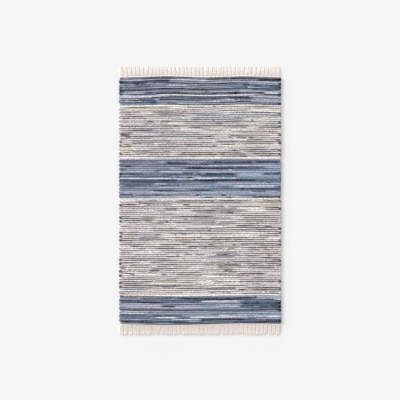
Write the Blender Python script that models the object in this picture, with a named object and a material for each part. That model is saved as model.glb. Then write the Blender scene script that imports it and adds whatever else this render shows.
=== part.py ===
"""A flat-woven rag rug with a cotton fringe at both ends, lying on the floor.

The weft is torn cloth: its picks run across the rug along X and follow each other along Y. The cotton
warp runs along Y, and its cut ends are the fringe. Metres, +Z up. The floor is Z = 0 and the origin is
on it, under the middle of the rug.
"""

import math
import random

import bmesh
import bpy

# The woven cloth
WIDTH = 0.600                # across the picks, over the selvedge loops
PICKS = 124
PICK_PITCH = 0.0074          # from one pick to the next, beaten close
LENGTH = PICKS * PICK_PITCH
SELVEDGE = 0.004             # the picks round off to the edge over this width
SELVEDGE_HEIGHT = 0.0032
CELLS_ACROSS = 6             # stretches of straight pick between the selvedges
LOOP_DEPTH = 0.0016          # how far the edge draws in between two selvedge loops
EDGE_WANDER = 0.0014         # how far the edge draws in over a long stretch
EDGE_WAVE = 0.31             # length of one such stretch

# The section of one pick along the rug: share of the pitch from its first groove, height over the floor
PICK_SECTION = (
    {"share": 0.00, "height": 0.0042},
    {"share": 0.28, "height": 0.0064},
    {"share": 0.72, "height": 0.0064},
)

# The bands of colour from the far end, +Y, each in whole picks
BANDS = (
    {"picks": 14, "rag": "blue_rag"},
    {"picks": 27, "rag": "cream_rag"},
    {"picks": 20, "rag": "blue_rag"},
    {"picks": 49, "rag": "cream_rag"},
    {"picks": 14, "rag": "blue_rag"},
)

# The picks aren't quite straight. Each end has its own sway, in waves over the width, which dies out
# towards the middle of the rug. "crest" is the share of the width where the first wave is highest.
SWAYS = (
    {"end": 1, "height": 0.0021, "waves": 2, "crest": 0.29},
    {"end": -1, "height": -0.0027, "waves": 1, "crest": 0.30},
)

# The fringe: warp ends in bundles, held by a narrow heading of cotton twined beside the last pick
BUNDLES = 40
STRANDS = 3                  # in each bundle
HEADING_WIDTH = 0.594        # along X
HEADING_DEPTH = 0.0045       # along Y
HEADING_HEIGHT = 0.0036
GAP = 0.0003                 # between the heading and the last pick
BUNDLE_GAP_SHARE = 0.30      # of the bundle pitch
BUNDLE_SHIFT = 0.0006        # how far a gap strays from its even place
TIP_LINE = LENGTH / 2 + 0.0415   # the trimmed ends reach this far from the middle
TRIM = 0.0042                # the shortest strand ends this far short of the line
BEND = 0.0006                # how far a bundle bows sideways half way

# A strand's section from root to tip: share of its length, width, height, spread of the strands from
# the bundle's middle against their spread at the root
STRAND_SECTIONS = (
    {"share": 0.50, "width": 0.0025, "height": 0.0027, "spread": 1.05},
    {"share": 1.00, "width": 0.0019, "height": 0.0016, "spread": 1.12},
)

# How far the tips lean along X from their roots, at even stations from the left edge to the right
LEANS = {
    1: (
        -0.0030, -0.0050, -0.0050, -0.0040, -0.0015, -0.0030, 0.0015, 0.0040, 0.0010, -0.0020,
        -0.0040, -0.0065, -0.0050, -0.0020, 0.0, 0.0015, 0.0020, -0.0010, 0.0005, -0.0025,
        -0.0055, 0.0015, 0.0040, 0.0045, 0.0015, -0.0015, -0.0040, -0.0055, -0.0020, 0.0020,
        0.0050, 0.0025, 0.0010, 0.0060, 0.0065, 0.0045, 0.0015, -0.0010, 0.0020, 0.0,
    ),
    -1: (-0.0030, 0.0010, -0.0008, 0.0022, 0.0028, -0.0020, 0.0006, 0.0026, -0.0012, -0.0018, 0.0014),
}

COLOURS = {
    "blue_rag": (0.150, 0.180, 0.260),
    "cream_rag": (0.560, 0.500, 0.450),
    "cotton_warp": (0.830, 0.780, 0.720),
}
ROUGHNESS = 0.9


def clear_scene():
    for obj in list(bpy.data.objects):
        bpy.data.objects.remove(obj, do_unlink=True)


def material(name):
    """A plain matt cotton of one colour."""
    made = bpy.data.materials.new(name)
    made.use_nodes = True
    shader = made.node_tree.nodes["Principled BSDF"]
    shader.inputs["Base Color"].default_value = (*COLOURS[name], 1.0)
    shader.inputs["Roughness"].default_value = ROUGHNESS
    shader.inputs["Metallic"].default_value = 0.0
    return made


def add_object(name, bm, materials, collection):
    bmesh.ops.recalc_face_normals(bm, faces=bm.faces)
    mesh = bpy.data.meshes.new(name)
    bm.to_mesh(mesh)
    bm.free()
    for made in materials:
        mesh.materials.append(made)
    obj = bpy.data.objects.new(name, mesh)
    collection.objects.link(obj)
    return obj


def sway(x, y):
    """How far a pick strays along the rug at x, for a pick whose own line is y."""
    total = 0.0
    for row in SWAYS:
        fade = max(0.0, row["end"] * y / (LENGTH / 2)) ** 2
        turn = 2 * math.pi * row["waves"] * (x / WIDTH + 0.5 - row["crest"])
        total += fade * row["height"] * math.cos(turn)
    return total


def column_places():
    """X of the cloth's columns of points: both selvedges, and even stretches between them."""
    inner = WIDTH / 2 - SELVEDGE
    even = [-inner + 2 * inner * i / CELLS_ACROSS for i in range(CELLS_ACROSS + 1)]
    return [-WIDTH / 2] + even + [WIDTH / 2]


def end_line(x, end):
    """Y of the cloth's end at x. It is straight between two columns, as the cloth's mesh is."""
    columns = column_places()
    for left, right in zip(columns, columns[1:]):
        if x <= right:
            break
    share = (x - left) / (right - left)
    line = end * LENGTH / 2
    return line + (1 - share) * sway(left, line) + share * sway(right, line)


def row_places():
    """For each row of points: Y, height, and the place along the rug counted in picks."""
    rows = []
    for pick in range(PICKS):
        for point in PICK_SECTION:
            place = pick + point["share"]
            rows.append((LENGTH / 2 - place * PICK_PITCH, point["height"], place))
    rows.append((-LENGTH / 2, PICK_SECTION[0]["height"], PICKS))
    return rows


def edge_inset(side, place):
    """How far the edge lies inside the full width. The weft turns round at each edge, left and right
    by turns, so every loop spans two picks and the loops of the two sides are one pick apart."""
    turn = place / 2 + (0.0 if side > 0 else 0.5)
    between_loops = 0.5 + 0.5 * math.cos(2 * math.pi * turn)
    wave = place * PICK_PITCH / EDGE_WAVE + (0.2 if side > 0 else 0.65)
    return LOOP_DEPTH * between_loops + EDGE_WANDER * (0.5 - 0.5 * math.cos(2 * math.pi * wave))


def band_material(pick):
    """The index in COLOURS of the cloth that a pick is woven from."""
    names = list(COLOURS)
    for band in BANDS:
        if pick < band["picks"]:
            break
        pick -= band["picks"]
    return names.index(band["rag"])


def weave(materials, collection):
    """The woven cloth: 124 raised picks on a flat underside."""
    columns = column_places()
    rows = row_places()
    across = len(columns) - 1
    along = len(rows) - 1
    bm = bmesh.new()
    bmesh.ops.create_grid(bm, x_segments=across, y_segments=along, size=0.5)
    for vert in bm.verts:
        column = round((vert.co.x + 0.5) * across)
        y, height, place = rows[round((0.5 - vert.co.y) * along)]
        x = columns[column]
        if column in (0, across):
            side = math.copysign(1, x)
            x -= side * edge_inset(side, place)
            height = SELVEDGE_HEIGHT
        vert.co = (x, y + sway(columns[column], y), height)
    for face in bm.faces:
        middle = face.calc_center_median()
        own_line = middle.y - sway(middle.x, middle.y)
        face.material_index = band_material(int((LENGTH / 2 - own_line) / PICK_PITCH))
    skirt = bmesh.ops.extrude_edge_only(bm, edges=[edge for edge in bm.edges if edge.is_boundary])
    for vert in skirt["geom"]:
        if isinstance(vert, bmesh.types.BMVert):
            vert.co.z = 0.0
    bmesh.ops.edgeloop_fill(bm, edges=[edge for edge in bm.edges if edge.is_boundary])
    return add_object("weave", bm, materials, collection)


def lean(end, x):
    """How far a tip leans at x, read between the stations of LEANS."""
    stations = LEANS[end]
    place = (x / WIDTH + 0.5) * (len(stations) - 1)
    left = min(int(place), len(stations) - 2)
    return stations[left] + (place - left) * (stations[left + 1] - stations[left])


def heading_cells(dice):
    """The heading's cells from left to right, as (left, right, bundle). A cell that a strand grows from
    names its bundle's middle and bow, and a cell between two bundles has None."""
    pitch = HEADING_WIDTH / BUNDLES
    gap = pitch * BUNDLE_GAP_SHARE
    cells = []
    at = -HEADING_WIDTH / 2
    for bundle in range(BUNDLES):
        start = -HEADING_WIDTH / 2 + bundle * pitch + gap / 2 + dice.uniform(-1, 1) * BUNDLE_SHIFT
        cells.append((at, start, None))
        strand = (pitch - gap) / STRANDS
        shape = {"middle": start + (pitch - gap) / 2, "bow": dice.uniform(-1, 1) * BEND}
        for i in range(STRANDS):
            left = start + i * strand
            cells.append((left, left + strand, shape))
        at = start + STRANDS * strand
    cells.append((at, HEADING_WIDTH / 2, None))
    return cells


def grow(bm, face, x, y, width, height):
    """Extrudes a strand to its next section and returns the strand's new end face."""
    grown = bmesh.ops.extrude_discrete_faces(bm, faces=[face])["faces"][0]
    middle = grown.calc_center_median()
    for vert in grown.verts:
        side = math.copysign(0.5, vert.co.x - middle.x)
        vert.co = (x + side * width, y, height if vert.co.z > middle.z else 0.0)
    return grown


def fringe(name, end, seed, materials, collection):
    """A heading and its strands, all level on the floor. end is 1 at the far end and -1 at the near."""
    dice = random.Random(seed)
    cells = heading_cells(dice)
    edges = [cells[0][0]] + [right for _, right, _ in cells]
    bm = bmesh.new()
    bmesh.ops.create_grid(bm, x_segments=len(cells), y_segments=1, size=0.5)
    for vert in bm.verts:
        x = edges[round((vert.co.x + 0.5) * len(cells))]
        outer = vert.co.y * end > 0
        vert.co = (x, end_line(x, end) + end * (GAP + (HEADING_DEPTH if outer else 0.0)), 0.0)
    raised = bmesh.ops.extrude_face_region(bm, geom=bm.faces[:])
    for vert in raised["geom"]:
        if isinstance(vert, bmesh.types.BMVert):
            vert.co.z = HEADING_HEIGHT
    bmesh.ops.recalc_face_normals(bm, faces=bm.faces)
    outer_faces = [face for face in bm.faces if face.normal.y * end > 0.5]
    outer_faces.sort(key=lambda face: face.calc_center_median().x)
    strands = [(face, cell) for face, cell in zip(outer_faces, cells) if cell[2] is not None]
    trims = [dice.random() for _ in strands]
    for trim, (face, (left, right, bundle)) in zip(trims, strands):
        middle = bundle["middle"]
        from_middle = (left + right) / 2 - middle
        root_line = end * face.calc_center_median().y
        tip_line = TIP_LINE - TRIM * (trim - min(trims))
        for section in STRAND_SECTIONS:
            share = section["share"]
            x = middle + from_middle * section["spread"] + share * lean(end, middle)
            x += bundle["bow"] * math.sin(math.pi * share)
            y = root_line + share * (tip_line - root_line)
            face = grow(bm, face, x, end * y, section["width"], section["height"])
    for face in bm.faces:
        face.material_index = list(COLOURS).index("cotton_warp")
    return add_object(name, bm, materials, collection)


clear_scene()
rug = bpy.data.collections.new("rag_rug")
bpy.context.scene.collection.children.link(rug)
rag_materials = [material(name) for name in COLOURS]
weave(rag_materials, rug)
fringe("fringe_far", 1, 5, rag_materials, rug)
fringe("fringe_near", -1, 8, rag_materials, rug)
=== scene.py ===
import math

import bpy
import numpy as np
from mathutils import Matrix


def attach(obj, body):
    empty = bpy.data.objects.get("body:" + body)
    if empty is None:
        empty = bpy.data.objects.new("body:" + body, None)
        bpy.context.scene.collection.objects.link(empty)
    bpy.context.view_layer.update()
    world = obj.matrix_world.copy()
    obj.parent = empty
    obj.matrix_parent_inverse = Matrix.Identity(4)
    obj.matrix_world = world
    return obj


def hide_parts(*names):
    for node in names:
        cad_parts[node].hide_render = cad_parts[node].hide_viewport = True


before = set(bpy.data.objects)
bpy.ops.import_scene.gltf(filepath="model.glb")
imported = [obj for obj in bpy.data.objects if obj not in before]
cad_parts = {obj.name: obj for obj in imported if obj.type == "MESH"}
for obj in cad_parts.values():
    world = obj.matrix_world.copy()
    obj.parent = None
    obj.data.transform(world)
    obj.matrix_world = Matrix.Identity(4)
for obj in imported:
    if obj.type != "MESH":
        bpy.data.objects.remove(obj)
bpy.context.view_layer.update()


# The weft: torn cotton rag, woven in as one long strip for each band of colour. It runs straight across the
# rug, turns back round the outermost warp at each edge, and is beaten close against the pick before it.
# Where a warp crosses it the rag is pinched, on top and underneath by turns.
WIDTH = 0.600                # across the picks, over the selvedge loops
PICKS = 124
PICK_PITCH = 0.0074
LENGTH = PICKS * PICK_PITCH
WARPS = 80
WARP_PITCH = WIDTH / WARPS
FIRST_WARP = (WARP_PITCH - WIDTH) / 2
EDGE_WANDER = 0.0008         # how far the edge draws in over a long stretch
EDGE_WAVE = 0.31             # length of one such stretch
EDGE_START = {1: 0.2, -1: 0.65}  # where in such a stretch the right and left edges begin

# The section of a pick: points round it as shares of its half width and half height. Most are on its
# face, where the colours show.
RAG_SECTION = (
    (1.0, 0.0), (0.66, 0.84), (0.22, 1.0), (-0.22, 1.0), (-0.66, 0.84), (-1.0, 0.0), (-0.55, -0.95),
    (0.55, -0.95),
)
RAG_SIDES = len(RAG_SECTION)
RAG_SIDE = 0.0026            # breadth of one side of the strip
RAG_TOP = 0.0061             # height of a pick over the floor
RAG_MIDDLE = 0.0031          # height of its middle
RAG_LIFT = 0.00005           # least height of its underside
ROUGHNESS = ((0.009, 0.00018), (0.04, 0.00016))  # how long and how high the lumps in the rag are
PINCH = 0.0005               # how deep a warp presses into the rag
TIGHTNESS = (0.3, 1.0)       # and what share of it, from the loosest warp to the tightest
WAIST = 0.03                 # how much narrower a pick is there
FULLNESS = 0.99              # share of its room that a pick fills
STEPS_TO_A_WARP = 3
STEP = WARP_PITCH / STEPS_TO_A_WARP  # between two stations along a pick
# The stations of a straight pick, counted in steps from the first warp: from the second to the last but one
STRAIGHT = range(STEPS_TO_A_WARP, STEPS_TO_A_WARP * (WARPS - 2) + 1)

# The turn round the outermost warp, and the strip's cut ends
TURN_STEPS = 6
TURN_FULLNESS = 0.985
TURN_HALF_HEIGHT = 0.0029
TURN_PRESSED = 0.12          # how much flatter it is at its outermost point
BULGE = (0.98, 1.03)         # the narrowest and the widest turn
LOOP_SLACK = 0.0019          # how far a turn stands out past a tight one
CUT_END = ((0.7, 0.9), (1.0, 0.55))  # shares of the way out from the last warp, and of the pick's size
CUT_END_INSET = 0.0012
CUT_END_MIDDLE = 0.0032
CUT_END_RISE = 0.0026
CUT_END_DROP = 0.0030

# The bands from the far end, +Y, each with its picks and the rags it is woven from
BANDS = (
    {"name": "far_blue_band", "picks": 14, "rags": "blue"},
    {"name": "far_cream_field", "picks": 27, "rags": "cream"},
    {"name": "middle_blue_band", "picks": 20, "rags": "sky_blue"},
    {"name": "wide_cream_field", "picks": 49, "rags": "cream"},
    {"name": "near_blue_band", "picks": 14, "rags": "sky_blue"},
)

# The picks sway a little near both ends
SWAYS = (
    {"end": 1, "height": 0.0021, "waves": 2, "crest": 0.29},
    {"end": -1, "height": -0.0027, "waves": 1, "crest": 0.30},
)

# The dyed rags, in screen values
RAGS = {
    "cream": (226, 218, 217),
    "grey_cream": (213, 212, 214),
    "pink_cream": (230, 218, 216),
    "bright_cream": (247, 241, 234),
    "peach": (230, 206, 192),
    "olive_cream": (206, 201, 166),
    "white": (240, 240, 246),
    "pale_blue": (202, 208, 218),
    "lilac": (184, 185, 202),
    "sky": (158, 173, 196),
    "grey_blue": (152, 162, 178),
    "slate": (108, 119, 143),
    "denim": (94, 110, 139),
    "teal": (70, 100, 128),
    "mauve": (142, 134, 150),
    "plum": (88, 76, 100),
    "navy": (42, 48, 80),
    "charcoal": (58, 58, 70),
    "black": (20, 18, 26),
    "brown": (104, 86, 76),
    "olive": (92, 84, 62),
    "grey": (128, 126, 128),
}

# What the unmarked stretches of a band are woven from
GROUNDS = {
    "blue": ("lilac", "grey_blue", "sky", "slate", "grey_blue", "slate", "lilac", "grey_blue"),
    "sky_blue": ("sky", "grey_blue", "sky", "slate", "denim", "sky", "lilac"),
    "cream": ("cream", "cream", "grey_cream", "pink_cream", "cream", "bright_cream", "grey_cream"),
}

# How much darker or lighter than its own colour a rag of the ground may come out
TONES = {"blue": (0.78, 1.14), "sky_blue": (0.78, 1.14), "cream": (0.92, 1.08)}

# Where other rags are laid in over the ground, charted one by one. A row says from which warp to which, and
# at
# what place in picks from the far end: a half is the crest of a pick, a whole number the line before it.
# Then come half the rag's thickness in picks, where it isn't a thin one, and before that, where the rag
# slants, its place at the last warp.
THIN = {"blue": 0.32, "sky_blue": 0.32, "cream": 0.25}
DARKEST = ("black", "navy")
DARKEST_THICK = 0.3          # the least of these in the cream fields
MARKS = {
    "pale_blue": [
        (25, 44, 1.62, 0.3), (68, 79.5, 2.62, 3.02, 0.35), (13, 16.6, 3.17, 0.35), (24, 34, 4.02, 0.3),
        (59, 71, 7.02, 0.45), (66, 79.5, 9.62, 9.92, 0.4), (40, 79, 11.72, 0.4), (1, 8, 12.32, 0.35),
        (38, 66, 18.75, 0.3), (32, 62, 21.75, 0.25), (1.5, 5, 32.2, 0.3), (40, 62, 47.68, 0.35),
        (20, 31, 47.78, 0.4), (60, 70.6, 49.28, 0.3), (46.5, 58, 50.78, 0.3), (19, 41, 55.38, 0.4),
        (40, 60, 59.78, 0.3), (15, 41, 60.28, 0.4), (48, 64, 63.9, 0.4), (1, 4, 70.5), (1, 14, 106.3, 0.25),
        (60, 79, 108.2, 0.3), (76.5, 80, 111.7, 0.35), (27.4, 29.7, 115.3, 0.4), (0.8, 14.8, 118.2, 0.55),
        (55, 63, 119.5, 0.3), (66.6, 74, 120, 0.4), (26, 41, 121.7, 0.25),
    ],
    "lilac": [
        (3, 20, 1.22, 1.02, 0.4), (1, 12, 1.72, 0.4), (45, 60, 2.12, 0.4), (60, 72, 2.32, 2.42, 0.4),
        (17, 40, 5.32, 5.22, 0.35), (44, 59, 7.22, 0.4), (32, 41, 7.32, 0.4), (1, 12, 7.82, 7.72, 0.6),
        (26, 32, 12.82, 0.4), (66, 74, 18.6, 0.3), (4, 16, 27.5, 0.35), (19, 24, 31.5, 0.4),
        (28, 41, 42.48, 0.25), (44.5, 79, 44.58, 44.48, 0.4), (25.5, 32, 45.88, 0.4), (0, 17.5, 47.38, 0.5),
        (48, 79, 53.18, 0.4), (17.4, 23.4, 53.58, 0.3), (0, 80, 57.98, 0.5), (14, 22, 68, 0.3),
        (8, 24, 91.7, 0.35), (44, 47, 101.3), (68, 80, 110.9, 0.45), (0.4, 21, 114.4, 0.5),
        (45.7, 59.7, 115.2, 0.6), (28, 41, 115.4, 0.5), (3, 21, 115.5, 0.5), (66, 80, 118.4, 0.5),
        (67.3, 72.3, 121.6, 0.4), (0.4, 11.2, 121.9, 0.4),
    ],
    "sky": [
        (42, 79, 47.08, 0.5), (58, 80, 49.78, 49.98, 0.4), (40, 80, 54.08, 0.5), (40, 80, 58.88, 0.4),
        (0, 15, 60.18, 0.5), (40, 59, 113.5, 0.4), (40, 46, 115.2, 0.6), (40, 66, 118.2, 0.5),
        (28, 41, 122.6, 0.35),
    ],
    "grey_blue": [
        (25, 42, 2.52, 0.35), (0, 8, 4.42, 0.9), (30, 40, 7.42, 0.5), (22, 33, 10.62, 0.35),
        (18, 46, 12.42, 12.32, 0.5), (0, 41, 46.58, 0.35), (0, 52, 55.78, 0.4), (0.4, 11.2, 111.3, 0.5),
        (0, 80, 118.3, 0.4), (14.8, 41, 118.4, 0.5), (16, 41, 120.3, 0.3),
    ],
    "white": [
        (71.6, 79.5, 7.82, 8.02, 0.35), (41, 66.5, 9.22, 9.27, 0.36), (16, 41, 9.32, 9.17, 0.42),
        (0, 16.5, 9.77, 9.57, 0.42), (8.9, 10.9, 12.22, 0.2), (34, 62, 19.75), (1.4, 3.8, 24.3),
        (8, 20, 25.3), (54.5, 55.7, 46.68, 0.3), (0, 28, 50.98, 0.3), (38, 46.5, 51.08, 0.35),
        (28, 37, 51.28, 0.35), (57, 77, 54.88, 0.3), (15.5, 18.5, 57.48, 0.2), (12, 18, 67.3),
        (34.5, 58, 74.8, 0.34), (1, 4, 91.7), (15.5, 20, 93.7), (50, 58, 100.1, 0.3), (54, 57.8, 105.2),
        (40, 59, 112.7, 0.3), (1, 12, 118.8, 0.25), (49.4, 55.2, 119.6, 0.32), (73, 80, 120.1, 0.42),
        (35, 41, 120.7, 0.32), (40, 62.8, 120.75, 120.7, 0.34), (18.9, 27.9, 120.8, 0.25),
    ],
    "bright_cream": [
        (34, 66, 14.3, 14.1, 0.4), (1, 34, 14.6, 14.4, 0.4), (60, 75, 16.3, 0.3), (51, 79, 17.25, 0.25),
        (48, 80, 34.4, 0.3), (0, 80, 40.8, 40.7, 0.5), (0, 80, 61.6, 61.1, 0.5), (21.5, 68, 79.75, 0.38),
        (43.5, 49.5, 100.1, 0.3), (40, 60, 103.7, 0.35), (14, 37, 104, 0.3), (0, 80, 109.5, 109.4, 0.5),
    ],
    "peach": [
        (66, 72, 14), (8, 10, 28.9, 0.25), (5, 18, 40.15, 0.15), (28, 37, 81.4, 0.3), (1, 6.5, 81.5, 0.35),
        (1, 6, 93.7), (0, 18, 109.5, 0.4),
    ],
    "olive_cream": [
        (2, 14, 15.75, 0.3), (58, 66, 15.8), (1, 4, 18.8), (1, 6, 27.4), (60, 64, 31), (0, 5, 36.8, 0.5),
        (71, 79.5, 64.5, 0.5),
    ],
    "mauve": [
        (65, 79.5, 10.32, 10.92, 0.42), (33, 49, 10.62, 0.35), (0, 16, 10.67, 10.62, 0.4),
        (33.6, 41, 43.08, 0.5), (0, 20, 43.28, 0.6), (10, 20, 54.88, 0.3), (4.5, 14.5, 56.48, 0.32),
        (4, 9, 100.7), (46, 56, 106.7), (70, 76, 116.2, 0.35),
    ],
    "grey": [
        (50, 60, 14.85), (65, 75, 14.85), (34, 40, 15.25), (35, 40, 17.2), (0.5, 6, 17.75), (40, 52, 18.2),
        (14, 16, 19.2), (0.5, 6, 19.8), (36, 56, 20.2), (6, 14, 20.8), (26, 33, 21.2), (40, 62, 21.25),
        (26, 33, 22.3), (40, 51, 22.35), (74, 79.5, 22.35), (12, 18, 23.25), (20, 24, 23.25),
        (32, 48, 23.3), (26, 33, 24.35), (73, 79, 24.35), (26, 30, 24.75), (6, 15, 25.8), (16, 24, 25.8),
        (41, 45, 26.2), (68, 71, 26.2), (3, 6, 26.75), (44, 52, 26.8), (76, 79, 28.3), (20, 28, 28.8),
        (7, 16, 30.8), (43, 46, 30.85), (33.4, 34.6, 30.85), (6, 26, 32.35), (32, 33, 32.8), (43, 46, 32.9),
        (11.5, 17, 33.3), (23, 28, 33.3), (28, 33, 33.8), (63, 73, 35.3), (54, 60, 36.9), (76, 79, 37.4),
        (34, 38, 39.9), (15, 33, 39.9), (51, 53, 39.9), (18, 26, 64.5), (47, 52, 64.7), (8, 13, 65),
        (25, 28, 65.7), (35, 42, 66), (22, 24, 66), (57, 64, 67.05), (2, 8, 68), (38, 44, 68.05),
        (24, 27, 68.6), (18, 30, 70.55), (36, 56, 71), (33, 48, 72.05), (36, 40, 73.05), (50, 57, 73.05),
        (34, 54, 74.05), (68, 70, 74.6), (1.5, 5.4, 75), (16, 43, 77.1), (46, 52, 77.1), (39, 56, 78.6),
        (65, 74, 80.65), (64, 79, 82.6), (2, 7, 83.1), (41, 52, 83.1), (34, 38, 86.15), (0.5, 10, 87.2),
        (20, 40, 87.2), (46, 58, 88.1), (22, 34, 88.2), (8, 18, 89.2), (19.5, 24, 89.2), (24, 53, 93.2),
        (41, 47, 94.2), (26, 35, 95.2), (1, 3, 95.2), (56, 63, 95.3), (8, 15, 95.7), (9, 13.5, 97.8),
        (14, 16, 98.2), (36, 41, 99.5), (60, 63, 99.7), (13, 18, 100.7), (23, 28, 101.7), (60, 79, 101.75),
        (46, 51, 102.4), (48, 52, 103.1), (16.4, 20, 105.8), (1.5, 9.5, 107.8),
    ],
    "slate": [
        (1, 10, 0.5, 0.3), (48, 54, 4.22, 0.25), (38, 45, 4.27, 0.25), (70, 74, 4.32, 0.35),
        (20, 40, 4.72, 0.2), (5, 10.5, 5.42, 5.32, 0.3), (53, 60, 6.22, 0.3), (19.5, 30, 7.42, 0.4),
        (12, 20, 13.12, 0.35), (65, 79, 13.22, 13.42, 0.3), (38, 64, 19.2), (20, 33, 19.25),
        (62, 67.4, 22.3), (73, 80, 23.3), (0.4, 1.6, 24.6, 0.4), (52, 60, 25.3), (13, 20.6, 27.8),
        (24, 40, 27.8), (0.4, 1.6, 31, 0.4), (3, 5.6, 38.9), (52, 59, 39.9), (0, 80, 42.08, 41.98, 0.32),
        (18, 25, 46.48, 0.3), (12, 20, 48.68, 0.4), (67, 80, 51.98, 0.45), (40, 48, 53.08, 0.5),
        (45, 54, 55.68, 0.32), (35, 41, 56.78, 0.4), (8, 15, 59.48, 0.35), (14, 19, 62.2), (10, 28, 62.4),
        (1, 4, 70), (19, 22.8, 72.55), (66, 79, 72.6), (65, 79, 77.6), (3, 16, 79.1), (1, 6, 84.1),
        (9, 27, 85.15), (40, 52, 86.15), (1, 6, 88.2), (54, 60, 89.2), (43, 57, 90.2), (1, 24, 91.15),
        (1, 14, 92.2), (18.5, 28.5, 92.2), (1, 14, 106.8), (74, 79, 107.8), (52.5, 55.6, 108.25),
        (60.5, 79.4, 108.75), (11.2, 25, 111.3, 0.45), (21.5, 34, 112.6, 0.4), (63, 77, 113.6, 0.3),
        (40, 58, 113.7, 0.2), (21, 41, 114.3, 0.2), (66, 80, 115.9, 115.7, 0.3), (68, 71, 119.1, 0.25),
        (72.6, 74.6, 119.1, 0.25), (40, 80, 122.6, 122.4, 0.4), (65, 80, 123.4, 0.3),
    ],
    "denim": [
        (56.4, 62, 5.32, 0.4), (69.5, 79.5, 6.02, 6.22, 0.7), (12.8, 19.5, 7.92, 7.82, 0.45),
        (12.5, 18, 12.42, 0.5), (50, 56.5, 12.52, 0.4), (1, 12, 13.02, 0.5), (11, 26, 50.08, 0.45),
        (24, 36, 53.08, 0.36), (68, 80, 56.68, 0.4), (25, 41, 112.2, 0.45), (59.7, 80, 113.4, 113.5, 0.5),
        (60, 80, 114.4, 0.3), (0.4, 16.1, 120.4, 120.3, 0.55), (62, 67.3, 121.7, 0.45),
    ],
    "teal": [
        (40, 58, 49.58, 0.5), (0, 17, 53.28, 0.55), (64, 73, 114.7, 0.35),
    ],
    "plum": [
        (10, 17, 3.77, 3.72, 0.3), (74, 79.5, 4.52, 0.5), (54, 64, 9.92, 0.2), (9.5, 17.5, 11.27, 0.28),
        (23.7, 29, 13.32, 0.36), (7, 10, 17.75), (3, 7, 18.8), (0.5, 6, 28.3), (63.5, 71, 31.4),
        (1, 3.6, 35.3, 35.2, 0.18), (40, 44, 43.48, 0.45), (16, 31, 57.28, 0.2), (65.7, 72, 57.48, 0.25),
        (16, 21, 58.88, 0.25), (25, 35, 58.88, 0.25), (16.5, 26, 63.5), (1, 10, 71.05), (4.5, 9, 73.05),
        (64.5, 67.5, 73.5), (74, 80, 78.6), (17, 21, 79.1), (70, 79, 79.6), (10, 17, 81.6),
        (6.8, 12.6, 84.1), (23, 30, 90.2), (32.5, 36, 99.2), (9, 12.7, 100.7), (43, 56, 106.2),
        (57, 66, 111.4, 110.9, 0.35), (75, 80, 115.7, 115.6, 0.4), (64, 80, 116.7, 0.3),
        (67.3, 72, 122, 0.3),
    ],
    "olive": [
        (20, 25, 10.12, 0.35), (28, 51, 13.8, 13.9, 0.2), (4, 10, 15.25), (46, 46.9, 29.3, 30.8, 0.3),
        (38.5, 42, 30.8), (51, 57.6, 33.8), (46.6, 47.8, 34.3, 34.9, 0.25), (6, 15, 37.4), (2.5, 5, 37.9),
        (63.8, 64.8, 64.6), (61, 70, 65), (51, 57, 80.65), (20, 22, 93.2), (20, 28.5, 94.2),
        (5.5, 15, 94.65), (49, 57, 96.2), (40, 49, 96.75),
    ],
    "brown": [
        (10, 25, 15.25), (50, 64, 16.8), (28.5, 30, 17.2), (16.5, 18, 17.25), (18.5, 27, 17.25),
        (55, 64, 24.35), (55, 77, 27.3), (68, 75, 29.4), (54, 55.8, 30.3), (58, 60.6, 30.35),
        (2.4, 5, 33.8), (32, 40, 33.85), (32, 47.6, 34.85), (20, 32, 34.9), (20.6, 21.7, 35.7, 36.2, 0.22),
        (60, 64.6, 36.4), (48, 60, 37.9), (14, 22.5, 37.9), (33, 47, 37.9), (15, 20, 38.9),
        (52, 63.2, 38.9, 0.24), (69, 76, 39.4), (57, 64, 62.05), (8, 10, 62.5), (28, 40, 62.95),
        (68, 79, 62.95), (44.2, 50, 63), (16, 18, 64.5), (43, 50, 65), (54, 60, 65), (46, 53, 66),
        (54, 58, 66), (72.5, 79, 66.55), (44, 46, 68.05), (50, 53, 68.05), (58, 79, 69.65), (11, 18, 70.55),
        (61, 80, 70.6), (58, 79, 71.6), (13, 16, 72.55), (40, 48, 73.05), (16, 22, 73.6), (71, 79, 75.65),
        (42, 52, 76.1), (6, 9.5, 77.8), (10, 20, 80.6), (28.4, 41.5, 80.65), (45, 51, 80.65), (2, 8, 81),
        (17, 25, 81.6), (40, 56, 81.6), (57, 73, 81.6), (1, 6.5, 82.1), (46, 50, 82.1), (27, 36, 82.2),
        (52, 62, 82.55), (31, 41, 83.1), (69, 79, 84.7), (9, 13, 86.15), (63, 69.6, 86.7), (71, 79, 86.7),
        (62, 79, 88.7), (18.3, 19.5, 89.2), (73.4, 75.6, 89.7), (56, 59, 92.7), (2, 10, 93.2),
        (73, 79.5, 93.7), (64, 77.8, 94.7), (76, 76.8, 95, 96, 0.25), (18.5, 25, 95.2), (49, 56, 95.25),
        (64, 76, 95.7), (16, 24, 96.2), (29, 34, 96.2), (30, 41, 98.2), (54, 58, 98.2), (46, 58, 99.2),
        (66, 72, 100.7), (2, 20, 101.7), (1, 11, 102.75), (17, 28.5, 102.75), (66, 69.6, 103.7),
        (52, 62.6, 104.7), (21, 27, 105.8), (45, 47.6, 108.2),
    ],
    "charcoal": [
        (54, 70, 0.67, 0.72, 0.6), (4, 11, 0.72, 0.25), (43, 54, 0.82, 0.77, 0.62),
        (69, 80, 1.22, 1.42, 0.7), (41, 45, 3.32, 3.22, 0.22), (61, 65, 3.92, 4.02, 0.4),
        (44.6, 48, 6.02, 5.92, 0.25), (2, 12.9, 7.02, 6.57, 0.38), (41, 54, 8.47, 0.22),
        (5.5, 19, 9.07, 8.72, 0.28), (24, 33, 9.92, 9.97, 0.3), (33, 54, 9.97, 10.02, 0.32),
        (53.8, 65, 10.22, 0.5), (59, 66, 11.02, 0.25), (33, 51.5, 11.17, 11.12, 0.26),
        (51, 78, 13.85, 13.8, 0.22), (31, 33.6, 17.25), (57, 75.6, 17.75, 0.22), (76, 79.6, 18.2),
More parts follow.
